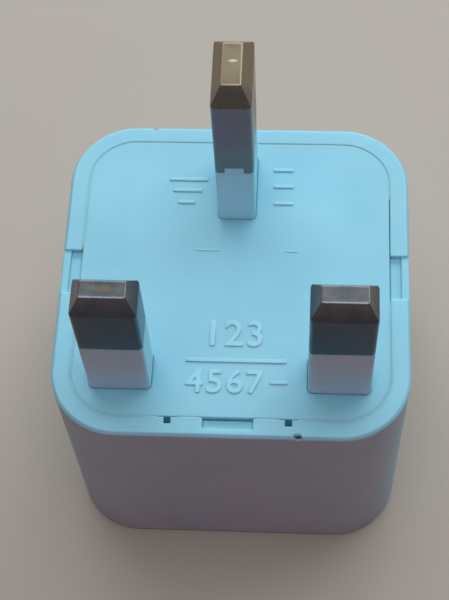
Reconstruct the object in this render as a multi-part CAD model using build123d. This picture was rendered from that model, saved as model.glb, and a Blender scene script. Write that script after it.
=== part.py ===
from build123d import *
from math import cos, radians, sin, tan
import os

# A cube travel adapter: three rectangular pins stand on a snapped-in plate,
# and the face it rests on is a socket for round, straight and slanted pins.
# Millimetres. Origin at the middle of the socket face, Z up along the pins,
# earth pin towards +Y, line pin on the -X side.

# Housing
body_width = 36.8
body_depth = 37.0
body_height = 29.6
corner_radius = 7.1
wall = 2.0
floor_thickness = 2.0
foot_bevel = 0.35
rim_bevel = 0.3
plate_thickness = 2.0
seam_gap = 0.08
seam_bevel = 0.06

# Snap hooks of the plate, one in the middle of each side
hook_width = 4.4
hook_thickness = 1.0
hook_length = 5.0
barb_height = 1.3
barb_reach = 0.6
catch_clearance = 0.2

# Notches in the rim over three of the hooks, and two small holes beside the front one
notch_length = 5.1
notch_width = 1.15
notch_depth = 0.6
notch_step = 0.2
seam_hole_size = 0.7
seam_hole_depth = 1.6
seam_hole_offset = 6.1

# Ribs on the inner walls that carry the plate
rib_width = 1.2
rib_proud = 1.1
rib_offset = 6.2

# Pins and their moulded sleeves
pin_pitch = 22.23
earth_distance = 22.23
live_row_y = -11.5
live_pin_width = 6.35
live_pin_depth = 4.0
live_pin_length = 17.7
earth_pin_width = 4.0
earth_pin_depth = 8.0
earth_pin_length = 22.2
pin_edge_round = 0.45
live_tip_inset_x = 1.0
live_tip_inset_y = 1.1
live_tip_height = 1.9
earth_tip_inset_x = 1.05
earth_tip_inset_y = 1.5
earth_tip_height = 1.8
sleeve_height = 9.1
sleeve_thickness = 0.6
tongue_width = 1.95
tongue_rise = 0.9
pin_fit = 0.04
boss_height = 1.4
boss_margin = 1.3
boss_hook_gap = 0.15
boss_corner = 1.2
collar_height = 1.6
collar_lip = 0.25
live_collar_shoulder = 0.8
earth_collar_shoulder = 1.8
collar_corner = 0.5
tail_inset = 0.7
earth_tail_length = 1.6

# Socket face
socket_row_y = -3.0
round_pitch = 19.0
round_hole_diameter = 5.2
round_pin_diameter = 4.6
blade_pitch = 12.7
blade_thickness = 1.5
slanted_pitch = 13.7
slant_angle = 30.0
slot_width = 2.0
slot_length = 7.0
earth_hole_distance = 11.9
earth_slot_distance = 10.3
retainer_margin = 0.3

# Stamped contacts: spring leaves stand off a web and grip the plugged-in pins
strip = 0.6
contact_height = 8.6
contact_clearance = 0.1
leaf_flare = 0.45
web_distance = 4.5
leaf_reach = 2.9
earth_web_distance = 4.6
earth_leaf_reach = 4.5
earth_leaf_spread = 2.7
bend_radius = 0.9
leaf_bend_radius = 0.8
riser_width = 5.4
earth_riser_width = 4.0
pocket_wall = 1.0
pocket_clearance = 0.3
neutral_run_width = 3.2
tab_reach = 2.3

# Fuse and its clips
fuse_length = 25.4
fuse_diameter = 6.35
fuse_cap_length = 6.0
fuse_cap_wall = 0.4
fuse_tube_wall = 0.8
fuse_strip_width = 0.9
fuse_strip_thickness = 0.15
fuse_y = -1.0
fuse_drop = 4.2
clip_length = 5.4
clip_finger_width = 4.2
clip_mouth_angle = 44.0
clip_lip = 1.1
clip_lip_angle = 35.0
clip_tongue_width = 2.8
clip_ledge = 1.4
clip_ledge_depth = 3.2
load_rivet_distance = 5.9

# Rivets
rivet_diameter = 2.0
rivet_head_diameter = 3.4
rivet_head_height = 0.8
rivet_depth = 3.0
earth_rivet_depth = 1.2

# Retainer over the contacts
retainer_thickness = 1.6
retainer_clearance = 0.2
retainer_seat_gap = 0.1
retainer_corner = 2.4
post_thickness = 1.2
post_gap = 0.2
live_post_depth = 3.2
saddle_thickness = 1.6
saddle_offset = 3.2
saddle_depth = 5.2
saddle_rise = 1.2
saddle_clearance = 0.1

# Marks of use on the rim
front_nick_x = 7.1
front_nick_size = 0.7
back_nick_x = -9.55
back_nick_size = 0.5
nick_depth = 0.42
nick_turn = 20.0

# Levels and places that follow from the sizes above
plate_underside = body_height - plate_thickness
boss_underside = plate_underside - boss_height
collar_underside = boss_underside - collar_height
cavity_width = body_width - 2 * wall
cavity_depth = body_depth - 2 * wall
cavity_radius = corner_radius - wall
live_x = pin_pitch / 2
earth_y = live_row_y + earth_distance
fuse_z = plate_underside - fuse_drop
fuse_radius = fuse_diameter / 2
fuse_tube_radius = fuse_radius - fuse_cap_wall
clip_underside = fuse_z - fuse_radius - strip
clip_x = fuse_length / 2 - fuse_cap_length / 2
live_tail_end = clip_underside + strip
earth_tail_end = collar_underside - earth_tail_length
contact_bottom = floor_thickness + contact_clearance
contact_top = contact_bottom + contact_height
retainer_underside = contact_top + retainer_seat_gap
retainer_top = retainer_underside + retainer_thickness
round_x = round_pitch / 2
blade_x = blade_pitch / 2
earth_hole_y = socket_row_y + earth_hole_distance
earth_slot_y = socket_row_y + earth_slot_distance

# Lines of the contacts in plan: leaves grip where the pins' sides would be
inner_leaf_x = blade_x - blade_thickness / 2 - strip / 2
middle_leaf_x = blade_x + blade_thickness / 2 + strip / 2
outer_leaf_x = round_x + round_pin_diameter / 2 + strip / 2
web_y = socket_row_y + web_distance
leaf_tip_y = socket_row_y - leaf_reach
earth_web_y = earth_hole_y + earth_web_distance
earth_leaf_tip_y = earth_hole_y - earth_leaf_reach
earth_grip_x = blade_thickness / 2 + strip / 2
neutral_run_z = retainer_top + strip / 2 + contact_clearance
pad_z = live_tail_end - strip / 2
earth_tab_z = earth_tail_end - strip / 2


def block(x0, x1, y0, y1, z0, z1):
    """A rectangular block between its limits."""
    middle = Pos((x0 + x1) / 2, (y0 + y1) / 2, (z0 + z1) / 2)
    return middle * Box(abs(x1 - x0), abs(y1 - y0), abs(z1 - z0))


def upright_bar(width, depth, z0, z1):
    """A square-edged bar about the Z axis."""
    return block(-width / 2, width / 2, -depth / 2, depth / 2, z0, z1)


def slab(width, depth, radius, z0, z1):
    """An upright slab with rounded corners."""
    return Pos(0, 0, z0) * extrude(RectangleRounded(width, depth, radius), z1 - z0)


def cut_slab(width, depth, cut, z0, z1):
    """An upright slab with its corners cut off."""
    return Pos(0, 0, z0) * extrude(chamfer(Rectangle(width, depth).vertices(), cut), z1 - z0)


def around(feature, sides=("right", "back", "left", "front")):
    """A feature made on the right (+X) side, on these sides of the housing."""
    turns = {"right": (0, cavity_width), "back": (90, cavity_depth),
             "left": (180, cavity_width), "front": (270, cavity_depth)}
    return [Rot(0, 0, turns[side][0]) * feature(turns[side][1] / 2) for side in sides]


def live_aperture(side, grow=0.0):
    """Round hole, straight slot and slanted slot run together, for one pole."""
    size = (slot_width + 2 * grow, slot_length + 2 * grow)
    hole = Pos(side * round_x, socket_row_y) * Circle(round_hole_diameter / 2 + grow)
    straight = Pos(side * blade_x, socket_row_y) * Rectangle(*size)
    turn = Rot(0, 0, -side * slant_angle)
    slanted = Pos(side * slanted_pitch / 2, socket_row_y) * turn * Rectangle(*size)
    return hole + straight + slanted


def earth_aperture(grow=0.0):
    """Round hole and straight slot run together, for the earth."""
    hole = Pos(0, earth_hole_y) * Circle(round_hole_diameter / 2 + grow)
    straight = Pos(0, earth_slot_y) * Rectangle(slot_width + 2 * grow, slot_length + 2 * grow)
    return hole + straight


def apertures(z0, z1, grow=0.0):
    """The three openings of the socket, cut from z0 to z1."""
    plan = live_aperture(-1, grow) + live_aperture(1, grow) + earth_aperture(grow)
    return Pos(0, 0, z0) * extrude(plan, z1 - z0)


def folded(plane, points, start, width, radius=bend_radius):
    """A strip folded along a line of points, from start, of the given width."""
    line = FilletPolyline(*points, radius=radius)
    return extrude(plane.offset(start) * trace(line, line_width=strip), width)


def rivet(x, y, z_head, shank_length):
    """A rivet: a flat head below and a shank up from it."""
    upright = (Align.CENTER, Align.CENTER, Align.MIN)
    head = Cylinder(rivet_head_diameter / 2, rivet_head_height, align=upright)
    shank = Cylinder(rivet_diameter / 2, shank_length, align=upright)
    return Pos(x, y, z_head) * (head + Pos(0, 0, rivet_head_height) * shank)


def rivet_hole(x, y, z0, z1):
    """The hole that a rivet's shank fills."""
    return Pos(x, y, (z0 + z1) / 2) * Cylinder(rivet_diameter / 2, z1 - z0)


def pockets():
    """Inner limits in plan of the line, neutral and earth contact pockets."""
    x0 = inner_leaf_x - leaf_flare - strip / 2 - pocket_clearance
    x1 = outer_leaf_x + leaf_flare + strip / 2 + pocket_clearance
    y0 = leaf_tip_y - pocket_clearance
    y1 = web_y + strip / 2 + pocket_clearance
    half = earth_leaf_spread + strip / 2 + pocket_clearance
    earth_y0 = earth_leaf_tip_y - pocket_clearance
    earth_y1 = earth_web_y + strip / 2 + pocket_clearance
    line = (x0, x1, y0, y1)
    neutral = (-x1, -x0, 2 * socket_row_y - y1, 2 * socket_row_y - y0)
    earth = (-half, half, earth_y0, earth_y1)
    return line, neutral, earth


def body_shell():
    """The outer moulding: walls, socket face, pockets, ribs, catches and notches."""
    shell = slab(body_width, body_depth, corner_radius, 0, body_height)
    shell = chamfer(shell.edges().group_by(Axis.Z)[0], foot_bevel)
    shell = chamfer(shell.edges().group_by(Axis.Z)[-1], rim_bevel)
    shell -= slab(cavity_width, cavity_depth, cavity_radius, floor_thickness, body_height)

    # Pockets for the contacts stand on the floor up to the retainer
    outsides = Part()
    insides = Part()
    for x0, x1, y0, y1 in pockets():
        outsides += block(x0 - pocket_wall, x1 + pocket_wall, y0 - pocket_wall, y1 + pocket_wall,
                          floor_thickness, retainer_underside)
        insides += block(x0, x1, y0, y1, floor_thickness, retainer_underside)
    shell += outsides - insides
    shell -= apertures(0, floor_thickness)

    # Two ribs on each wall carry the plate
    def ribs(wall_x):
        pair = Part()
        for side in (-1, 1):
            pair += block(wall_x - rib_proud, wall_x + wall / 2,
                          side * rib_offset - rib_width / 2, side * rib_offset + rib_width / 2,
                          floor_thickness, plate_underside)
        return pair

    # A catch in each wall takes the barb of a hook
    def catch(wall_x):
        half = hook_width / 2 + catch_clearance
        z0 = plate_underside - hook_length - catch_clearance
        return block(wall_x, wall_x - seam_gap + barb_reach + catch_clearance, -half, half,
                     z0, plate_underside - hook_length + barb_height + catch_clearance)

    def notch(wall_x):
        return block(wall_x, wall_x + notch_width, -notch_length / 2, notch_length / 2,
                     body_height - notch_depth, body_height)

    for rib in around(ribs):
        shell += rib
    for hollow in around(catch) + around(notch, ("right", "left", "front")):
        shell -= hollow

    # The side notches run out to the edge as a shallow step
    for side in (-1, 1):
        shell -= block(side * (cavity_width / 2 + notch_width), side * body_width / 2,
                       -notch_length / 2, notch_length / 2, body_height - notch_step, body_height)
    for side in (-1, 1):
        x = side * seam_hole_offset
        front = -cavity_depth / 2
        shell -= block(x - seam_hole_size / 2, x + seam_hole_size / 2, front - seam_hole_size, front,
                       body_height - seam_hole_depth, body_height)

    # Nicks in the front and back edges of the rim
    for x, side, size in ((front_nick_x, -1, front_nick_size), (back_nick_x, 1, back_nick_size)):
        edge = Pos(x, side * body_depth / 2, body_height)
        shell -= edge * Rot(45, 0, nick_turn) * Box(size, nick_depth * 2, nick_depth * 2)
    return shell


def pin_plate():
    """The plate that carries the pins, with bosses, snap hooks and fuse stops below."""
    plate = slab(cavity_width - 2 * seam_gap, cavity_depth - 2 * seam_gap, cavity_radius - seam_gap,
                 plate_underside, body_height)
    plate = chamfer(plate.edges().group_by(Axis.Z)[-1], seam_bevel)

    # The bosses stay inside the walls, and clear of the hooks
    hook_room = seam_gap + hook_thickness + boss_hook_gap
    for x, y, width, depth in pin_places():
        boss_width = min(width + 2 * boss_margin, cavity_width - 2 * seam_gap - 2 * abs(x))
        boss_depth = min(depth + 2 * boss_margin, cavity_depth - 2 * hook_room - 2 * abs(y))
        plate += Pos(x, y) * cut_slab(boss_width, boss_depth, boss_corner, boss_underside, plate_underside)

    # Each hook is a thin leg with a sloped barb at its end
    def hook(wall_x):
        face = wall_x - seam_gap
        foot = plate_underside - hook_length
        leg = Polyline((face, plate_underside + plate_thickness / 2), (face, foot + barb_height),
                       (face + barb_reach, foot + barb_height), (face, foot),
                       (face - hook_thickness, foot),
                       (face - hook_thickness, plate_underside + plate_thickness / 2), close=True)
        return extrude(Plane.XZ.offset(-hook_width / 2) * make_face(leg), hook_width)

    for leg in around(hook):
        plate += leg

    # Two stops hold the fuse down
    for side in (-1, 1):
        x = side * saddle_offset
        plate += block(x - saddle_thickness / 2, x + saddle_thickness / 2,
                       fuse_y - saddle_depth / 2, fuse_y + saddle_depth / 2,
                       fuse_z + fuse_tube_radius + saddle_clearance, plate_underside)
    for x, y, width, depth in pin_places():
        plate -= Pos(x, y) * slab(width + 2 * pin_fit, depth + 2 * pin_fit, pin_edge_round + pin_fit,
                                  boss_underside, body_height)
    return plate


def pin_places():
    """Place and section of each pin: line, neutral and earth."""
    return ((-live_x, live_row_y, live_pin_width, live_pin_depth),
            (live_x, live_row_y, live_pin_width, live_pin_depth),
            (0, earth_y, earth_pin_width, earth_pin_depth))


def pin(place, length, tip, collar, tail_end, hole_depth):
    """A solid pin: bevelled end, bare shank, neck under the sleeve, collar and tail."""
    x, y, width, depth = place
    inset_x, inset_y, tip_height = tip
    margin_x, margin_y = collar
    top = body_height + length
    sleeve_top = body_height + sleeve_height
    shank = slab(width, depth, pin_edge_round, sleeve_top, top - tip_height)
    wedge = Wedge(width, tip_height, depth, inset_x, inset_y, width - inset_x, depth - inset_y)
    bevel = Pos(0, 0, top - tip_height / 2) * Rot(90, 0, 0) * wedge
    bevel &= slab(width, depth, pin_edge_round, top - tip_height, top)
    neck = upright_bar(width - 2 * sleeve_thickness, depth - 2 * sleeve_thickness, boss_underside, sleeve_top)
    ring = cut_slab(width + 2 * margin_x, depth + 2 * margin_y, collar_corner, collar_underside, boss_underside)
    tail = upright_bar(width - 2 * tail_inset, depth - 2 * tail_inset, tail_end, collar_underside)
    body = shank + bevel + neck + ring + tail
    body -= rivet_hole(0, 0, tail_end, tail_end + hole_depth)
    return Pos(x, y, 0) * body


def sleeve(place):
    """The insulating sleeve moulded round a pin's neck, flush with its shank."""
    x, y, width, depth = place
    top = body_height + sleeve_height
    outside = slab(width, depth, pin_edge_round, boss_underside, top)
    inside = upright_bar(width - 2 * sleeve_thickness, depth - 2 * sleeve_thickness, boss_underside, top)
    return Pos(x, y, 0) * (outside - inside)


def earth_tongues():
    """Tongues of the earth sleeve that rise into notches of the bare shank, front and back."""
    top = body_height + sleeve_height
    face = earth_pin_depth / 2
    tongues = Part()
    for side in (-1, 1):
        tongues += block(-tongue_width / 2, tongue_width / 2, earth_y + side * (face - sleeve_thickness),
                         earth_y + side * face, top, top + tongue_rise)
    return tongues


def live_leaves():
    """Three leaves on one web, for the blades and the round pin of one pole."""
    tip = leaf_tip_y
    grip = socket_row_y
    root = web_y - bend_radius - strip
    inner = inner_leaf_x - leaf_flare
    outer = outer_leaf_x + leaf_flare
    outline = ((inner, tip), (inner_leaf_x, grip), (inner, root), (inner, web_y),
               (outer, web_y), (outer, root), (outer_leaf_x, grip), (outer, tip))
    leaves = folded(Plane.XY, outline, contact_bottom, contact_height, leaf_bend_radius)
    leaves += block(middle_leaf_x - strip / 2, middle_leaf_x + strip / 2, tip, web_y,
                    contact_bottom, contact_top)
    return leaves


def line_contact():
    """The line contact: its riser folds back under the tongue of the fuse's load clip."""
    tab_z = clip_underside - strip / 2
    tab_end = fuse_y + load_rivet_distance + tab_reach
    path = ((web_y, contact_bottom + contact_height / 2), (web_y, tab_z), (tab_end, tab_z))
    riser = folded(Plane.YZ, path, clip_x - riser_width / 2, riser_width)
    contact = live_leaves() + riser
    rivet_y = fuse_y + load_rivet_distance
    return contact - rivet_hole(clip_x, rivet_y, tab_z - strip, tab_z + strip)


def neutral_contact():
    """The neutral contact: its strip crosses on the retainer and climbs to the neutral pin."""
    leaves = Pos(0, 2 * socket_row_y, 0) * Rot(0, 0, 180) * live_leaves()
    riser_y = 2 * socket_row_y - web_y
    run_front = live_row_y - neutral_run_width / 2
    path = ((run_front, neutral_run_z), (riser_y, neutral_run_z), (riser_y, contact_bottom + contact_height / 2))
    riser = folded(Plane.YZ, path, -clip_x - riser_width / 2, riser_width)
    step_x = live_x - live_pin_width / 2
    crossing = ((-clip_x - riser_width / 2, neutral_run_z), (step_x, neutral_run_z),
                (step_x, pad_z), (live_x + tab_reach, pad_z))
    run = folded(Plane.XZ, crossing, -live_row_y - neutral_run_width / 2, neutral_run_width)
    return leaves + riser + run - rivet_hole(live_x, live_row_y, pad_z - strip, pad_z + strip)


def earth_contact():
    """The earth contact: a keyhole of two leaves with a riser that folds under the earth pin."""
    half = earth_leaf_spread
    flare_x = earth_grip_x + leaf_flare
    neck_y = earth_slot_y - leaf_reach / 2
    right = [(flare_x, earth_leaf_tip_y), (earth_grip_x, neck_y), (half, earth_hole_y), (half, earth_web_y)]
    outline = right + [(-x, y) for x, y in reversed(right)]
    leaves = folded(Plane.XY, outline, contact_bottom, contact_height, leaf_bend_radius)
    path = ((earth_y - tab_reach, earth_tab_z), (earth_web_y, earth_tab_z),
            (earth_web_y, contact_bottom + contact_height / 2))
    riser = folded(Plane.YZ, path, -earth_riser_width / 2, earth_riser_width)
    return leaves + riser - rivet_hole(0, earth_y, earth_tab_z - strip, earth_tab_z + strip)


def fuse_bar(radius, x0, x1):
    """A round bar along the fuse's axis."""
    return Pos((x0 + x1) / 2, fuse_y, fuse_z) * Rot(0, 90, 0) * Cylinder(radius, abs(x1 - x0))


def fuse_seat():
    """The space that saddles and stops leave round the fuse tube."""
    return fuse_bar(fuse_tube_radius + saddle_clearance, -fuse_length / 2, fuse_length / 2)


def fuse_tube():
    """The ceramic tube between the caps."""
    half = fuse_length / 2 - fuse_cap_wall
    return fuse_bar(fuse_tube_radius, -half, half) - fuse_bar(fuse_tube_radius - fuse_tube_wall, -half, half)


def fuse_cap(side):
    """A metal cap over one end of the tube."""
    outer = fuse_length / 2
    cap = fuse_bar(fuse_radius, side * (outer - fuse_cap_length), side * outer)
    return cap - fuse_bar(fuse_tube_radius, side * (outer - fuse_cap_length), side * (outer - fuse_cap_wall))


def fuse_element():
    """The thin strip that runs down the middle of the tube from cap to cap."""
    half = fuse_length / 2 - fuse_cap_wall
    return block(-half, half, fuse_y - fuse_strip_width / 2, fuse_y + fuse_strip_width / 2,
                 fuse_z - fuse_strip_thickness / 2, fuse_z + fuse_strip_thickness / 2)


def clip_section():
    """The fingers of a clip in section: a ring open at the top, with lips turned outwards."""
    outer = fuse_radius + strip
    reach = 2 * outer
    half_mouth = reach * tan(radians(clip_mouth_angle))
    mouth = make_face(Polyline((0, 0), (half_mouth, reach), (-half_mouth, reach), close=True))
    ring = Circle(outer) - mouth
    middle = fuse_radius + strip / 2
    for side in (-1, 1):
        foot = (side * middle * sin(radians(clip_mouth_angle)), middle * cos(radians(clip_mouth_angle)))
        lip = Pos(0, clip_lip / 2 - strip / 4) * Rectangle(strip, clip_lip)
        ring += Pos(*foot) * Rot(0, 0, -side * clip_lip_angle) * lip
    return ring - Circle(fuse_radius)


def fuse_clip(side):
    """A spring clip: fingers on a base with a ledge past the fuse's end."""
    half = clip_length / 2
    base = block(side * (clip_x - half), side * (clip_x + half + clip_ledge),
                 fuse_y - clip_ledge_depth / 2, fuse_y + clip_ledge_depth / 2,
                 clip_underside, clip_underside + strip)
    section = Plane.YZ.offset(side * clip_x - clip_finger_width / 2) * Pos(fuse_y, fuse_z) * clip_section()
    return base + extrude(section, clip_finger_width)


def fuse_clip_line():
    """The clip on the line side: its tongue ends in a pad under the line pin."""
    z0 = clip_underside
    z1 = clip_underside + strip
    half = clip_tongue_width / 2
    clip = fuse_clip(-1)
    clip += block(-clip_x - half, -clip_x + half, live_row_y, fuse_y - clip_ledge_depth / 2, z0, z1)
    clip += block(-live_x - tab_reach, -clip_x + half, live_row_y - neutral_run_width / 2,
                  live_row_y + neutral_run_width / 2, z0, z1)
    return clip - rivet_hole(-live_x, live_row_y, z0, z1)


def fuse_clip_load():
    """The clip on the load side: its tongue is riveted to the line contact."""
    z0 = clip_underside
    z1 = clip_underside + strip
    half = clip_tongue_width / 2
    rivet_y = fuse_y + load_rivet_distance
    clip = fuse_clip(1)
    clip += block(clip_x - half, clip_x + half, fuse_y + clip_ledge_depth / 2, rivet_y + tab_reach, z0, z1)
    return clip - rivet_hole(clip_x, rivet_y, z0, z1)


def contact_retainer():
    """The inner moulding over the contacts, with posts for the collars, clips and fuse."""
    inset = rib_proud + retainer_clearance
    plate = cut_slab(cavity_width - 2 * inset, cavity_depth - 2 * inset, retainer_corner,
                     retainer_underside, retainer_top)

    # Windows let plugged-in pins and the three risers through
    near_x = blade_x - slot_width / 2 - retainer_margin
    far_x = clip_x + riser_width / 2 + retainer_margin
    earth_x = round_hole_diameter / 2 + retainer_margin
    row_half = slot_length / 2 + retainer_margin
    riser_back = web_y + strip / 2 + retainer_margin
    bend_front = 2 * socket_row_y - web_y - bend_radius - retainer_margin
    for window in ((near_x, far_x, socket_row_y - row_half, riser_back),
                   (-far_x, -near_x, bend_front, socket_row_y + row_half),
                   (-earth_x, earth_x, earth_slot_y - row_half, earth_web_y + strip / 2 + retainer_margin)):
        plate -= block(*window, retainer_underside, retainer_top)

    # Posts press the collars of the pins up against their bosses and carry the ends of the clips
    for x, y, depth, top in (
            (clip_x + riser_width / 2 + post_gap, live_row_y + neutral_run_width / 2 + post_gap,
             live_post_depth, collar_underside),
            (earth_x, earth_hole_y, earth_pin_depth / 2, collar_underside),
            (far_x, fuse_y - clip_ledge_depth / 2, clip_ledge_depth, clip_underside)):
        for side in (-1, 1):
            plate += block(side * x, side * (x + post_thickness), y, y + depth, retainer_top, top)

    # Saddles carry the fuse tube
    for side in (-1, 1):
        x = side * saddle_offset
        plate += block(x - saddle_thickness / 2, x + saddle_thickness / 2, fuse_y - saddle_depth / 2,
                       fuse_y + saddle_depth / 2, retainer_top, fuse_z - saddle_rise)
    return plate - fuse_seat()


def all_parts():
    """Every separate piece by its name."""
    line_place, neutral_place, earth_place = pin_places()
    live_tip = (live_tip_inset_x, live_tip_inset_y, live_tip_height)
    earth_tip = (earth_tip_inset_x, earth_tip_inset_y, earth_tip_height)
    live_collar = (collar_lip, live_collar_shoulder)
    earth_collar = (earth_collar_shoulder, collar_lip)
    pins = {
        "line_pin": pin(line_place, live_pin_length, live_tip, live_collar, live_tail_end, rivet_depth),
        "neutral_pin": pin(neutral_place, live_pin_length, live_tip, live_collar, live_tail_end, rivet_depth),
        "earth_pin": pin(earth_place, earth_pin_length, earth_tip, earth_collar, earth_tail_end,
                         earth_rivet_depth) - earth_tongues(),
        "line_sleeve": sleeve(line_place),
        "neutral_sleeve": sleeve(neutral_place),
        "earth_sleeve": sleeve(earth_place) + earth_tongues(),
    }
    live_head = live_tail_end - strip - rivet_head_height
    earth_head = earth_tail_end - strip - rivet_head_height
    load_head = clip_underside - strip - rivet_head_height
    rivets = {
        "line_rivet": rivet(-live_x, live_row_y, live_head, strip + rivet_depth),
        "neutral_rivet": rivet(live_x, live_row_y, live_head, strip + rivet_depth),
        "earth_rivet": rivet(0, earth_y, earth_head, strip + earth_rivet_depth),
        "load_rivet": rivet(clip_x, fuse_y + load_rivet_distance, load_head, 2 * strip + rivet_head_height / 2),
    }
    inside = {
        "line_contact": line_contact(),
        "neutral_contact": neutral_contact(),
        "earth_contact": earth_contact(),
        "contact_retainer": contact_retainer(),
        "fuse_tube": fuse_tube(),
        "fuse_cap_line": fuse_cap(-1),
        "fuse_cap_load": fuse_cap(1),
        "fuse_element": fuse_element(),
        "fuse_clip_line": fuse_clip_line(),
        "fuse_clip_load": fuse_clip_load(),
    }
    return {"body_shell": body_shell(), "pin_plate": pin_plate(), **pins, **rivets, **inside}


os.makedirs("parts", exist_ok=True)
for name, solid in all_parts().items():
    export_step(solid, f"parts/{name}.step")
    print(name, "volume", round(solid.volume, 2), "solids", len(solid.solids()))
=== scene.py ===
# %% [markdown]
# A cube travel adapter, seen from above with its pins up
#
# The adapter is a small pale blue box of moulded plastic. Three dull nickel-plated pins stand on a
# plate that snaps into its top, and the face it rests on is a socket. The solids come from the
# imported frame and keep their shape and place. This lesson gives them their finishes, adds the
# raised signs and numerals on the plate and the weld flash round it, and sets the floor, the
# lights and the camera.

# %% Load the frame
from math import pi, radians

import bmesh
import bpy
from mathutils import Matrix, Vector


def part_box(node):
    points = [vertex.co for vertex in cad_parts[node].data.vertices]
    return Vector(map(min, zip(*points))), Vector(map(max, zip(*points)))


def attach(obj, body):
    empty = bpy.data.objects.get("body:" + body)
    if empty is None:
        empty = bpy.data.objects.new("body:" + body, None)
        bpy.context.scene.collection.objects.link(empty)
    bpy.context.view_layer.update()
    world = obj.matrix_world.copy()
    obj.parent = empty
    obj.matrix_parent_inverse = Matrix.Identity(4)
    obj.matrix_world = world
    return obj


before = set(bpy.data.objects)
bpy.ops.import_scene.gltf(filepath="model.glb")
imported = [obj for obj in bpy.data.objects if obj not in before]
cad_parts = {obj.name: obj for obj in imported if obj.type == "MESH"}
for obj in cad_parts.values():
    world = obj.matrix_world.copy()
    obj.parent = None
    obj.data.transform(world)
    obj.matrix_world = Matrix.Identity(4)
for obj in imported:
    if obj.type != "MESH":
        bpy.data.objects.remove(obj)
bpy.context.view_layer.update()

# %% [markdown]
# Blender's unit here is the metre, but an adapter is easier to think of in millimetres. Every
# size below is written in millimetres and multiplied by MM. The places on the plate and on the
# pins are worked out from the boxes of the frame's solids.

# %% Sizes from the frame
MM = 0.001


def box_in_mm(node):
    """The lowest and the highest corner of one of the frame's solids, in millimetres."""
    low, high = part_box(node)
    return Vector(low) / MM, Vector(high) / MM


body_low, body_high = box_in_mm("body_shell")
plate_top = box_in_mm("pin_plate")[1].z
print("plate top at", round(plate_top, 3), "mm")

# %% [markdown]
# Colours are written as the hex values that a paint program shows. Blender's shaders work in
# linear light, so one function turns such a value to linear red, green and blue.


# %% Colour helper
def linear(hex_value):
    """An sRGB hex colour such as 93CEE6 as linear RGBA."""
    channels = [int(hex_value[i:i + 2], 16) / 255 for i in (0, 2, 4)]
    return [c / 12.92 if c <= 0.04045 else ((c + 0.055) / 1.055) ** 2.4 for c in channels] + [1.0]


# %% [markdown]
# A material is a small graph of nodes. One helper adds a node, sets its properties, and fills
# its inputs with plain values or with another node's output. Everything else below is a list
# of such calls, so each material can be read from top to bottom.


# %% Node helper
def add(tree, kind, inputs=None, **settings):
    """Add one node to a tree, with its settings and with values or links for its inputs."""
    node = tree.nodes.new("ShaderNode" + kind)
    for name, value in settings.items():
        setattr(node, name, value)
    for name, value in (inputs or {}).items():
        if isinstance(value, bpy.types.NodeSocket):
            tree.links.new(value, node.inputs[name])
        else:
            node.inputs[name].default_value = value
    return node


def start_material(name):
    """An empty node material, with its tree and its surface output."""
    material = bpy.data.materials.new(name)
    material.use_nodes = True
    tree = material.node_tree
    tree.nodes.clear()
    return material, tree, add(tree, "OutputMaterial").inputs["Surface"]


# %% [markdown]
# Specks, painted reflections and a painted highlight
#
# A used adapter has single spots: a darker spot where the rim was knocked, and on the pins
# patches of painted reflection and one painted highlight. Each could be painted on an image, but
# a spot needs only a place, a half size along each axis and a colour. The distance from the
# place, counted in half sizes, plus a noise of about a half makes a ragged edge: the spot is
# full up to 1.2 and gone at 1.7.

# %% Speck helper
SPECK_RAG = 0.3
SPECK_FULL, SPECK_GONE = 1.2, 1.7


def speckled(tree, place, base, specks):
    """A base colour with ragged specks, each given as a place, a half size in mm and a colour."""
    for spot, half_size, hex_value in specks:
        off = add(tree, "VectorMath", {0: place, 1: [c * MM for c in spot]}, operation="SUBTRACT")
        shape = add(tree, "VectorMath", {0: off.outputs["Vector"], 1: [c * MM for c in half_size]},
                    operation="DIVIDE")
        away = add(tree, "VectorMath", {0: shape.outputs["Vector"]}, operation="LENGTH").outputs["Value"]
        ragged = add(tree, "TexNoise", {"Vector": place, "Scale": 1 / (SPECK_RAG * MM), "Detail": 2.0})
        reach = add(tree, "Math", {0: ragged.outputs["Fac"], 1: away}, operation="ADD").outputs[0]
        share = add(tree, "MapRange", {"Value": reach, "From Min": SPECK_GONE,
                                       "From Max": SPECK_FULL}).outputs["Result"]
        base = add(tree, "MixRGB", {"Fac": share, "Color1": base,
                                    "Color2": linear(hex_value)}).outputs["Color"]
    return base


# %% [markdown]
# Moulded ABS
#
# The housing, the plate and the sleeves are ABS, a hard opaque plastic, pressed into a steel
# mould whose walls were spark eroded. That leaves a fine satin grain: highlights are soft and
# wide, and nothing mirrors. The real grain is about 0.05 mm, too fine for this picture, so it
# is drawn at 0.25 mm. A slow mottle of a few percent stands for flow and handling. Pale plastic
# lets a little light in, which softens its shadows, and subsurface scattering of about a
# millimetre gives that, with a shorter way for red than for blue.

# %% Moulded plastic
GRAIN = 0.25
MOTTLE = 9.0
SCATTER = 1.2
SCATTER_RGB = (0.5, 0.9, 1.0)


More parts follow.
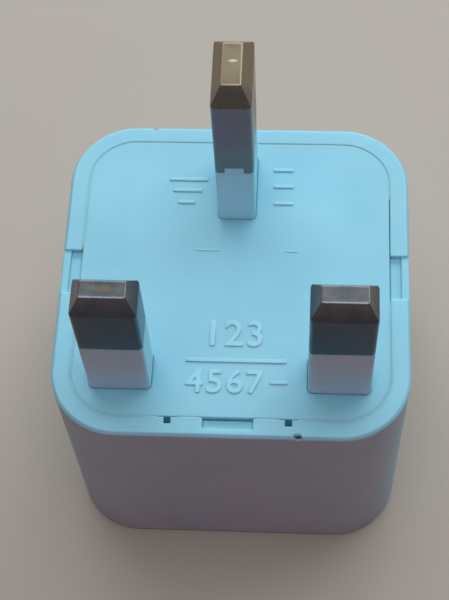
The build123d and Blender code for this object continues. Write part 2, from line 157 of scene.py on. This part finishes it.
def moulded_abs(name, light_hex, dark_hex, roughness, edge_round, grain_depth, milky, specks=()):
    """Satin moulded ABS, with a fine grain, a slow mottle, rounded edges and a milky depth."""
    material, tree, surface = start_material(name)
    place = add(tree, "TexCoord").outputs["Object"]
    mottle = add(tree, "TexNoise", {"Vector": place, "Scale": 1 / (MOTTLE * MM), "Detail": 3.0,
                                    "Roughness": 0.55}).outputs["Fac"]
    tone = add(tree, "ValToRGB", {"Fac": mottle})
    for element, position, hex_value in zip(tone.color_ramp.elements, (0.3, 0.7), (dark_hex, light_hex)):
        element.position = position
        element.color = linear(hex_value)
    base = speckled(tree, place, tone.outputs["Color"], specks)
    grain = add(tree, "TexNoise", {"Vector": place, "Scale": 1 / (GRAIN * MM),
                                   "Detail": 2.0}).outputs["Fac"]
    rounded = add(tree, "Bevel", {"Radius": edge_round * MM}, samples=8).outputs["Normal"]
    bump = add(tree, "Bump", {"Height": grain, "Distance": grain_depth * MM, "Strength": 1.0,
                              "Normal": rounded}).outputs["Normal"]
    shine = add(tree, "MapRange", {"Value": mottle, "To Min": roughness - 0.04,
                                   "To Max": roughness + 0.05}).outputs["Result"]
    plastic = add(tree, "BsdfPrincipled", {"Base Color": base, "Roughness": shine, "IOR": 1.53,
                                           "Subsurface Weight": milky, "Subsurface Scale": SCATTER * MM,
                                           "Subsurface Radius": SCATTER_RGB, "Normal": bump})
    tree.links.new(plastic.outputs[0], surface)
    return material


# %% [markdown]
# The plastics in use
#
# The recipe is called once for each plastic, with colours matched against the photograph in the
# light that the last cells set up. The rim was knocked twice, at the front and at the back, and
# both nicks are drawn with a darker spot. Thin signs get no milky depth, because light that
# enters a bead 0.1 mm high would leave it grey.

# %% Make the plastics
# A darker spot at each of the two nicks in the rim.
front_nick = ((7.1, body_low.y + 0.3, plate_top - 0.3), (0.42, 0.18, 0.18), "2C4450")
back_nick = ((-9.55, body_high.y - 0.25, plate_top - 0.1), (0.25, 0.2, 0.2), "3A4A50")
housing_blue = moulded_abs("abs_moulded_pale_blue", "95D4E6", "8CCDE1", roughness=0.44, edge_round=0.25,
                           grain_depth=0.010, milky=0.5, specks=(front_nick, back_nick))
# Signs, numerals and seam flash use the housing's ABS made a little lighter: a painted highlight on the
# raised beads and numerals, and painted light along the seam.
sign_blue_painted_highlight = moulded_abs("abs_moulded_sign_painted_highlight", "9CD9EA", "94D3E6", roughness=0.4, edge_round=0.1,
                        grain_depth=0.004, milky=0.0)
# The sleeves are the housing's ABS made lighter: painted light, for the light that the lit plate throws
# onto their shaded fronts.
sleeve_blue_painted_light = moulded_abs("abs_moulded_sleeve_painted_light", "A6EBFA", "9DE4F5", roughness=0.4, edge_round=0.12,
                          grain_depth=0.006, milky=0.15)
inner_white = moulded_abs("abs_moulded_natural", "DAD8CF", "CFCDC4", roughness=0.5, edge_round=0.1,
                          grain_depth=0.008, milky=0.5)
plastics = (housing_blue, sign_blue_painted_highlight, sleeve_blue_painted_light, inner_white)
print("plastics:", [material.name for material in plastics])

# %% [markdown]
# Nickel-plated brass
#
# The pins are brass bars with a thin dull nickel plating, which looks dark because it mirrors a
# dark room and the plate. Fine scratches run along the pin, where a socket's contacts rubbed it.
# The metal is darkened against plain nickel until it matches. Towards the end its colour turns
# lighter on all pins, and yellower on the earth pin; that change is painted reflection of the
# lamps and the room in the end faces, and it follows the height above the plate. A scratch is a
# spot of noise that is drawn out 25 times along the pin.

# %% Plated metal
SCRATCH = 0.12
SCRATCH_DEEP = 0.006
ALONG_PIN = 1 / 25
PIN_CLOUD = 2.2
PIN_EDGE = 0.3


def plated_brass(name, nickel_hex, tip_reflection_hex, reflection_from, reflection_to, reflection_share, roughness, marks):
    """Dull nickel over brass: scratches along Z, painted reflection that changes the colour towards the
    end, and marks.
    """
    material, tree, surface = start_material(name)
    place = add(tree, "TexCoord").outputs["Object"]
    streaks = add(tree, "Mapping", {"Vector": place, "Scale": (1.0, 1.0, ALONG_PIN)}).outputs["Vector"]
    scratch = add(tree, "TexNoise", {"Vector": streaks, "Scale": 1 / (SCRATCH * MM), "Detail": 3.0,
                                     "Roughness": 0.65}).outputs["Fac"]
    cloud = add(tree, "TexNoise", {"Vector": place, "Scale": 1 / (PIN_CLOUD * MM),
                                   "Detail": 4.0}).outputs["Fac"]
    # Near the end the colour turns to a second one with the height: painted reflection of the lamps and
    # the room.
    height = add(tree, "SeparateXYZ", {"Vector": place}).outputs["Z"]
    rise = add(tree, "MapRange", {"Value": height, "From Min": reflection_from * MM, "From Max": reflection_to * MM,
                                  "To Max": reflection_share}).outputs["Result"]
    patchy = add(tree, "Math", {0: rise, 1: cloud}, operation="MULTIPLY").outputs[0]
    tip_with_reflection = add(tree, "MixRGB", {"Fac": patchy, "Color1": linear(nickel_hex),
                                "Color2": linear(tip_reflection_hex)}).outputs["Color"]
    base = speckled(tree, place, tip_with_reflection, marks)
    rounded = add(tree, "Bevel", {"Radius": PIN_EDGE * MM}, samples=8).outputs["Normal"]
    bump = add(tree, "Bump", {"Height": scratch, "Distance": SCRATCH_DEEP * MM, "Strength": 0.6,
                              "Normal": rounded}).outputs["Normal"]
    shine = add(tree, "MapRange", {"Value": cloud, "To Min": roughness - 0.08,
                                   "To Max": roughness + 0.08}).outputs["Result"]
    metal = add(tree, "BsdfPrincipled", {"Base Color": base, "Metallic": 1.0, "Roughness": shine,
                                         "Normal": bump})
    tree.links.new(metal.outputs[0], surface)
    return material


# %% [markdown]
# The pins' metal in use
#
# The line and neutral pins are darker and cooler than the earth pin, whose nickel is made
# browner and redder as painted reflection of the warm surroundings in front of it. Their places
# come from the frame: the sleeves have the pins' own outline, and the pins' boxes end at the
# tips. The line pin has a lighter, warmer patch of painted reflection on its end. The earth pin
# has painted reflection on its front face and on the slope above it, and a small bright spot on
# its end, a painted highlight.

# %% Make the pins' metal
line_low, line_high = box_in_mm("line_pin")
line_middle = (line_low + line_high) / 2
live_end = line_high.z
# A lighter, warmer patch on the line pin's end: painted reflection.
line_end_reflection_patch = ((line_middle.x, line_middle.y + 0.1, live_end), (1.3, 0.3, 0.3), "7C7868")
live_metal = plated_brass("nickel_plated_brass_live", "475362", "828281", reflection_from=live_end - 2.3,
                          reflection_to=live_end - 0.1, reflection_share=1.2, roughness=0.28, marks=(line_end_reflection_patch,))

earth_front = box_in_mm("earth_sleeve")[0].y
earth_end = box_in_mm("earth_pin")[1].z
# Grey-brown and mauve patches on the earth pin's front slope and front face: painted reflection.
slope_reflection_patch = ((0, earth_front + 1.07, earth_end - 1.7), (2.8, 1.3, 1.6), "76706C")
face_reflection_patch = ((0, earth_front - 0.05, earth_end - 4.8), (3.2, 0.2, 4.2), "8C6467")
# A small bright spot on the earth pin's end: a painted highlight.
end_glint = ((0.06, earth_front + 4.35, earth_end), (0.45, 0.18, 0.3), "C4BCA8")
# The earth pin's browner, redder nickel is painted reflection of the warm surroundings in front of it.
earth_metal = plated_brass("nickel_plated_brass_earth", "84706D", "8C8069", reflection_from=earth_end - 3.3,
                           reflection_to=earth_end - 1.6, reflection_share=2.0, roughness=0.3,
                           marks=(slope_reflection_patch, face_reflection_patch, end_glint))
print("pins end at", round(live_end, 3), "and", round(earth_end, 3), "mm")

# %% [markdown]
# Metals inside
#
# Little of the inside shows: only spring leaves behind the socket's openings. They are stamped
# from rolled brass or bronze strip, which leaves fine lines along the strip and a faint cloud of
# tarnish. One function makes every metal inside, and only the colours and the gloss differ.

# %% Rolled metals
ROLLING_LINE = 0.2
ROLLING_DEEP = 0.01
ALONG_STRIP = 0.06
STRIP_CLOUD = 3.0


def rolled_metal(name, base_hex, tarnish_hex, roughness):
    """Stamped strip: fine rolling lines and a faint cloud of tarnish."""
    material, tree, surface = start_material(name)
    place = add(tree, "TexCoord").outputs["Object"]
    lines = add(tree, "Mapping", {"Vector": place, "Scale": (1.0, ALONG_STRIP, 1.0)}).outputs["Vector"]
    rolled = add(tree, "TexNoise", {"Vector": lines, "Scale": 1 / (ROLLING_LINE * MM),
                                    "Detail": 2.0}).outputs["Fac"]
    cloud = add(tree, "TexNoise", {"Vector": place, "Scale": 1 / (STRIP_CLOUD * MM),
                                   "Detail": 3.0}).outputs["Fac"]
    base = add(tree, "MixRGB", {"Fac": cloud, "Color1": linear(base_hex),
                                "Color2": linear(tarnish_hex)}).outputs["Color"]
    bump = add(tree, "Bump", {"Height": rolled, "Distance": ROLLING_DEEP * MM,
                              "Strength": 0.5}).outputs["Normal"]
    shine = add(tree, "MapRange", {"Value": cloud, "To Min": roughness - 0.06,
                                   "To Max": roughness + 0.1}).outputs["Result"]
    metal = add(tree, "BsdfPrincipled", {"Base Color": base, "Metallic": 1.0, "Roughness": shine,
                                         "Normal": bump})
    tree.links.new(metal.outputs[0], surface)
    return material


brass_strip = rolled_metal("brass_stamped_strip", "D2A95A", "B58A45", roughness=0.32)
bronze_strip = rolled_metal("phosphor_bronze_strip", "C38A55", "A5703F", roughness=0.34)
brass_rivet = rolled_metal("brass_headed_rivet", "CBA35C", "AD8444", roughness=0.35)
cap_metal = rolled_metal("nickel_plated_cap", "B8B6B0", "A6A49C", roughness=0.28)
fuse_strip_metal = rolled_metal("tinned_fuse_strip", "C9C4B8", "B3AD9F", roughness=0.35)
inner_metals = (brass_strip, bronze_strip, brass_rivet, cap_metal, fuse_strip_metal)
print("metals inside:", [material.name for material in inner_metals])

# %% [markdown]
# Glazed ceramic
#
# The fuse's tube is a small pipe of fired ceramic. Its glaze makes it smooth and glossy, and a
# faint speckle in the glaze is all that breaks its colour.

# %% Glazed ceramic
GLAZE_SPECKLE = 0.8


def glazed_ceramic(name, glaze_hex, shade_hex, roughness):
    """Glazed ceramic: smooth and glossy, with a faint speckle in the glaze."""
    material, tree, surface = start_material(name)
    place = add(tree, "TexCoord").outputs["Object"]
    speckle = add(tree, "TexNoise", {"Vector": place, "Scale": 1 / (GLAZE_SPECKLE * MM),
                                     "Detail": 2.0}).outputs["Fac"]
    base = add(tree, "MixRGB", {"Fac": speckle, "Color1": linear(glaze_hex),
                                "Color2": linear(shade_hex)}).outputs["Color"]
    glaze = add(tree, "BsdfPrincipled", {"Base Color": base, "Roughness": roughness, "IOR": 1.52})
    tree.links.new(glaze.outputs[0], surface)
    return material


ceramic = glazed_ceramic("glazed_fuse_ceramic", "ECE8DC", "E0DBCD", roughness=0.18)
print("ceramic:", ceramic.name)

# %% [markdown]
# Each solid of the frame now gets its finish. The solids have plain materials in their slots, so
# a finish takes the place of each of them, and the meshes are left as they are.

# %% Give each solid its finish
finishes = {
    "body_shell": housing_blue, "pin_plate": housing_blue,
    "line_sleeve": sleeve_blue_painted_light, "neutral_sleeve": sleeve_blue_painted_light, "earth_sleeve": sleeve_blue_painted_light,
    "line_pin": live_metal, "neutral_pin": live_metal, "earth_pin": earth_metal,
    "line_contact": brass_strip, "neutral_contact": brass_strip, "earth_contact": brass_strip,
    "fuse_clip_line": bronze_strip, "fuse_clip_load": bronze_strip,
    "line_rivet": brass_rivet, "neutral_rivet": brass_rivet, "earth_rivet": brass_rivet,
    "load_rivet": brass_rivet, "contact_retainer": inner_white, "fuse_tube": ceramic,
    "fuse_cap_line": cap_metal, "fuse_cap_load": cap_metal, "fuse_element": fuse_strip_metal,
}
for name, finish in finishes.items():
    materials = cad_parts[name].data.materials
    for index in range(len(materials)):
        materials[index] = finish
print("finished nodes:", len(finishes), "of", len(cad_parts))

# %% [markdown]
# Raised signs
#
# The mould leaves thin raised lines on the plate: three bars that shorten beside the earth pin,
# three equal bars on its other side, a rule, two faint lines and a dash. Each is a soft bead
# between 0.05 and 0.14 mm high. A bead starts as a cube, is stretched to size and has its upper
# and upright edges bevelled by a bit less than half its smaller side. All the beads of one sign
# are one piece.

# %% Piece and bead helpers
SIGN_SINK = 0.05
BEAD_ROUND = 0.45


def finish_piece(name, mesh):
    """Turn a bmesh into a smooth plastic piece that rides on the adapter."""
    data = bpy.data.meshes.new(name)
    mesh.to_mesh(data)
    mesh.free()
    data.materials.append(sign_blue_painted_highlight)
    data.shade_smooth()
    piece = bpy.data.objects.new(name, data)
    bpy.context.scene.collection.objects.link(piece)
    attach(piece, "root")


def bead(mesh, x0, x1, y, width, height):
    """Add one raised line to a bmesh: a bar with soft edges, sunk a little in the plate."""
    made = bmesh.ops.create_cube(mesh, size=1.0)["verts"]
    bmesh.ops.scale(mesh, verts=made, vec=Vector((x1 - x0, width, height + SIGN_SINK)) * MM)
    centre = Vector(((x0 + x1) / 2, y, plate_top + (height - SIGN_SINK) / 2)) * MM
    bmesh.ops.translate(mesh, verts=made, vec=centre)
    soft = [edge for edge in mesh.edges
            if edge.verts[0] in made and any(vert.co.z > centre.z for vert in edge.verts)]
    bmesh.ops.bevel(mesh, geom=soft, offset=min(width, height) * BEAD_ROUND * MM,
                    segments=3, profile=0.5, affect="EDGES", material=-1)


# %% [markdown]
# Each bead below is given by its two ends along X, its place along Y, its width and its height,
# all as measured on the plate. The bars of the first sign shorten towards the front, and the two
# faint lines are so low that they only show as thin streaks.

# %% Raised signs
signs = {
    "earth_sign": [(-7.54, -3.33, 11.65, 0.42, 0.13), (-7.08, -3.91, 10.25, 0.42, 0.13),
                   (-6.44, -4.59, 8.75, 0.42, 0.13)],
    "equal_bars": [(3.74, 5.93, 13.0, 0.4, 0.13), (3.81, 5.98, 10.9, 0.42, 0.13),
                   (3.88, 6.04, 8.75, 0.38, 0.13)],
    "rule_line": [(-4.58, 5.74, -10.1, 0.45, 0.14)],
    "faint_lines": [(-4.25, -1.59, 2.85, 0.22, 0.05), (5.23, 6.6, 2.85, 0.22, 0.05)],
    "end_dash": [(4.1, 5.9, -12.45, 0.42, 0.13)],
}
for name, beads in signs.items():
    sign = bmesh.new()
    for x0, x1, y, width, height in beads:
        bead(sign, x0, x1, y, width, height)
    finish_piece(name, sign)
    print(name, "beads:", len(beads))

# %% [markdown]
# Weld flash in the seam
#
# The plate is pressed into the housing and welded by ultrasound. A little molten plastic rises in
# the seam and fills it almost to the top, so the seam reads as a shallow groove and not as a
# crack. The flash is one thin ribbon, 0.11 mm wide and 0.27 mm deep, with a faint groove along
# its top. A curve with a bevel could make it, but its section has to stay upright, so spin sweeps
# the section here: straight along each side of the seam and round each corner, in short steps.
# It starts and ends in the notch on the right.

# %% Sweep the flash round the seam
SEAM_INSET = 2.04
SEAM_RADIUS = 5.06
SIDE_STEP = 0.475
CORNER_STEPS = 48
FLASH_HALF, FLASH_DEEP, FLASH_RIDGE, FLASH_GROOVE = 0.055, 0.3, 0.03, 0.05


def straight_on(mesh, end, travel):
    """Sweep an end face straight on in short steps, and return the new end."""
    steps = round(travel.length / SIDE_STEP)
    return bmesh.ops.spin(mesh, geom=end, axis=(0, 0, 1), dvec=travel * MM / steps,
                          steps=steps)["geom_last"]


def round_corner(mesh, end, centre):
    """Sweep an end face by a quarter turn round a corner's centre, and return the new end."""
    return bmesh.ops.spin(mesh, geom=end, cent=centre * MM, axis=(0, 0, 1), angle=pi / 2,
                          steps=CORNER_STEPS)["geom_last"]


corner_x = body_high.x - SEAM_INSET - SEAM_RADIUS
corner_y = body_high.y - SEAM_INSET - SEAM_RADIUS
section = [(-FLASH_HALF, FLASH_DEEP), (FLASH_HALF, FLASH_DEEP), (FLASH_HALF, FLASH_RIDGE),
           (0, FLASH_GROOVE), (-FLASH_HALF, FLASH_RIDGE)]
flash = bmesh.new()
start = flash.faces.new([
    flash.verts.new(Vector((corner_x + SEAM_RADIUS + across, 0, plate_top - drop)) * MM)
    for across, drop in section])
end = [start, *start.edges, *start.verts]
mid_side = Vector((corner_x, 0, 0))
came_from = mid_side
for x, y in ((corner_x, corner_y), (-corner_x, corner_y), (-corner_x, -corner_y), (corner_x, -corner_y)):
    corner = Vector((x, y, 0))
    end = straight_on(flash, end, corner - came_from)
    end = round_corner(flash, end, corner)
    came_from = corner
straight_on(flash, end, mid_side - came_from)
print("flash faces all round:", len(flash.faces))

# %% [markdown]
# The ribbon isn't whole on the real adapter. It stops at the three notches and at the two small
# holes in front, and it leaves the seam open for a stretch on the right. Those faces are deleted,
# and each cut end is filled.

# %% Cut the flash
NOTCH_HALF = 2.75
HOLE_X, HOLE_HALF = 6.1, 0.75
OPEN_END = 9.4


def is_bare(face):
    """Whether the seam has no flash here: at a notch, at a small hole or in the open stretch."""
    x, y = (face.calc_center_median() / MM).xy
    at_side_notch = abs(y) < NOTCH_HALF
    at_front_gap = y < 0 and (abs(x) < NOTCH_HALF or abs(abs(x) - HOLE_X) < HOLE_HALF)
    in_open_stretch = x > 0 and 0 < y < OPEN_END
    return at_side_notch or at_front_gap or in_open_stretch


bmesh.ops.delete(flash, geom=[face for face in flash.faces if is_bare(face)], context="FACES")
bmesh.ops.holes_fill(flash, edges=[edge for edge in flash.edges if edge.is_boundary], sides=len(section))
bmesh.ops.recalc_face_normals(flash, faces=flash.faces)
print("flash faces left:", len(flash.faces))
finish_piece("weld_flash", flash)

# %% [markdown]
# Raised numerals
#
# The plate carries two rows of plain raised numerals. Modelling each stroke would take long, so
# they are made from Blender's own font: a text object is extruded, given a round edge and turned
# into a mesh. The text's own sizes are shares of the height of a line.

# %% Text helper
TEXT_EXTRUDE = 0.02
TEXT_EDGE = 0.018
TEXT_SPACE = 1.12


def text_mesh(name, text):
    """A bmesh of a line of text, one unit high, with a rounded upper edge."""
    curve = bpy.data.curves.new(name, "FONT")
    curve.body = text
    curve.resolution_u = 5
    curve.extrude = TEXT_EXTRUDE
    curve.bevel_depth = TEXT_EDGE
    curve.bevel_resolution = 2
    curve.space_character = TEXT_SPACE
    writer = bpy.data.objects.new(name + "_text", curve)
    bpy.context.scene.collection.objects.link(writer)
    bpy.context.view_layer.update()
    formed = bpy.data.meshes.new_from_object(writer.evaluated_get(bpy.context.evaluated_depsgraph_get()))
    bpy.data.objects.remove(writer)
    mesh = bmesh.new()
    mesh.from_mesh(formed)
    bpy.data.meshes.remove(formed)
    bmesh.ops.remove_doubles(mesh, verts=mesh.verts, dist=1e-5)
    return mesh


# %% [markdown]
# Each row is now scaled to the box that it fills on the plate. Its foot is sunk a little, as the
# beads are, so that no gap shows under it.

# %% Raised numerals
NUMERAL_HEIGHT = 0.13


def numeral_row(name, text, x0, x1, y0, y1):
    """A row of raised numerals that fills the box from x0, y0 to x1, y1 on the plate."""
    mesh = text_mesh(name, text)
    low = Vector([min(vert.co[axis] for vert in mesh.verts) for axis in range(3)])
    high = Vector([max(vert.co[axis] for vert in mesh.verts) for axis in range(3)])
    goal_low = Vector((x0, y0, plate_top - SIGN_SINK))
    goal_high = Vector((x1, y1, plate_top + NUMERAL_HEIGHT))
    stretch = [goal / now for goal, now in zip(goal_high - goal_low, high - low)]
    bmesh.ops.translate(mesh, verts=mesh.verts, vec=-low)
    bmesh.ops.scale(mesh, verts=mesh.verts, vec=Vector(stretch) * MM)
    bmesh.ops.translate(mesh, verts=mesh.verts, vec=goal_low * MM)
    print(name, "faces:", len(mesh.faces))
    finish_piece(name, mesh)


numeral_row("upper_numerals", "123", x0=-2.2, x1=3.2, y0=-8.5, y1=-5.5)
numeral_row("lower_numerals", "4567", x0=-4.5, x1=3.5, y0=-13.8, y1=-11.1)

# %% [markdown]
# Floor
#
# The adapter stands on a plain pale floor, with a faint cloud in its colour. The camera and
# mirror rays see it pale. The light that it sends back to the adapter is darker and warmer than
# that, which gives the shaded front wall its mauve tint.

# %% Floor
FLOOR_HALF = 600
FLOOR_CLOUD = 167


def floor_material():
    """A plain pale warm floor, darker for the light it sends back to the object."""
    material, tree, surface = start_material("plain_pale_floor")
    place = add(tree, "TexCoord").outputs["Object"]
    cloud = add(tree, "TexNoise", {"Vector": place, "Scale": 1 / (FLOOR_CLOUD * MM),
                                   "Detail": 2.0}).outputs["Fac"]
    seen = add(tree, "MixRGB", {"Fac": cloud, "Color1": linear("B8AEA2"),
                                "Color2": linear("B2A89B")}).outputs["Color"]
    path = add(tree, "LightPath")
    direct = add(tree, "Math", {0: path.outputs["Is Camera Ray"], 1: path.outputs["Is Glossy Ray"]},
                 operation="MAXIMUM").outputs[0]
    shown = add(tree, "Math", {0: direct, 1: path.outputs["Is Transmission Ray"]},
                operation="MAXIMUM").outputs[0]
    base = add(tree, "MixRGB", {"Fac": shown, "Color1": linear("8A5B4C"), "Color2": seen}).outputs["Color"]
    matte = add(tree, "BsdfPrincipled", {"Base Color": base, "Roughness": 0.7})
    tree.links.new(matte.outputs[0], surface)
    return material


floor_mesh = bmesh.new()
bmesh.ops.create_grid(floor_mesh, x_segments=1, y_segments=1, size=FLOOR_HALF * MM)
floor_data = bpy.data.meshes.new("floor")
floor_mesh.to_mesh(floor_data)
floor_mesh.free()
floor_data.materials.append(floor_material())
floor = bpy.data.objects.new("floor", floor_data)
bpy.context.scene.collection.objects.link(floor)
print("floor reaches", FLOOR_HALF, "mm to each side")

# %% [markdown]
# Lights
#
# One wide soft lamp far behind and above lights the plate and leaves the front wall in shade, as
# a window does. A square lamp overhead stands for the ceiling and gives the soft shadows round
# the pins. A weak warm lamp in front fills the shade a little, and it stays out of the metal's
# reflections. All three are turned towards the middle of the adapter.

# %% Lights
LAMP_AIM = Vector((0, 0, 20))
DAYLIGHT = "F2F9FF"


def area_lamp(name, place, width, height, watts, hex_value, in_gloss=True):
    """A soft rectangular lamp at a place in millimetres, turned towards the adapter."""
    lamp = bpy.data.lights.new(name, "AREA")
    lamp.shape = "RECTANGLE"
    lamp.size = width * MM
    lamp.size_y = height * MM
    lamp.energy = watts
    lamp.color = linear(hex_value)[:3]
    holder = bpy.data.objects.new(name, lamp)
    bpy.context.scene.collection.objects.link(holder)
    holder.location = Vector(place) * MM
    holder.rotation_euler = (LAMP_AIM - Vector(place)).to_track_quat("-Z", "Y").to_euler()
    holder.visible_glossy = in_gloss


area_lamp("window_key", place=(80, 445, 330), width=1500, height=240, watts=4.7, hex_value=DAYLIGHT)
area_lamp("ceiling_soft", place=(0, -10, 620), width=440, height=440, watts=1.95, hex_value=DAYLIGHT)
area_lamp("front_fill", place=(40, -500, 60), width=400, height=200, watts=0.7, hex_value="FF6C7C",
          in_gloss=False)
print("lamps:", len(bpy.data.lights))

# %% [markdown]
# The room round the adapter is nearly dark, so that the lamps make the shadows. Metal mirrors
# the room, and a real room is never that dark, so rays that leave a glossy surface see it
# brighter.

# %% Room
ROOM_LIGHT = 0.035
ROOM_MIRRORED = 0.3
world = bpy.data.worlds.new("soft_room")
world.use_nodes = True
room_tree = world.node_tree
room_tree.nodes.clear()
mirrored = add(room_tree, "LightPath").outputs["Is Glossy Ray"]
strength = add(room_tree, "MapRange", {"Value": mirrored, "To Min": ROOM_LIGHT,
                                       "To Max": ROOM_MIRRORED}).outputs["Result"]
room = add(room_tree, "Background", {"Color": linear("E8E4E2"), "Strength": strength})
room_tree.links.new(room.outputs[0], add(room_tree, "OutputWorld").inputs["Surface"])
bpy.context.scene.world = world
print("room light:", ROOM_LIGHT, "and", ROOM_MIRRORED, "in reflections")

# %% [markdown]
# The camera's place and angles were worked out from the photograph: the corners of the pins,
# whose sizes are standard, fix where the lens was. It looks down on the plate from the front.

# %% Camera
camera_place = (7.176, -72.414, 162.740)
camera_turn = (27.575, 2.153, 2.544)
camera_lens = 86.276
camera_data = bpy.data.cameras.new("camera")
camera_data.lens = camera_lens
camera_data.sensor_width = 36.0
camera_data.clip_start = 10 * MM
camera = bpy.data.objects.new("camera", camera_data)
bpy.context.scene.collection.objects.link(camera)
camera.location = Vector(camera_place) * MM
camera.rotation_euler = [radians(angle) for angle in camera_turn]
bpy.context.scene.camera = camera
bpy.context.scene.view_settings.view_transform = "Standard"
print("camera at", camera_place, "mm")
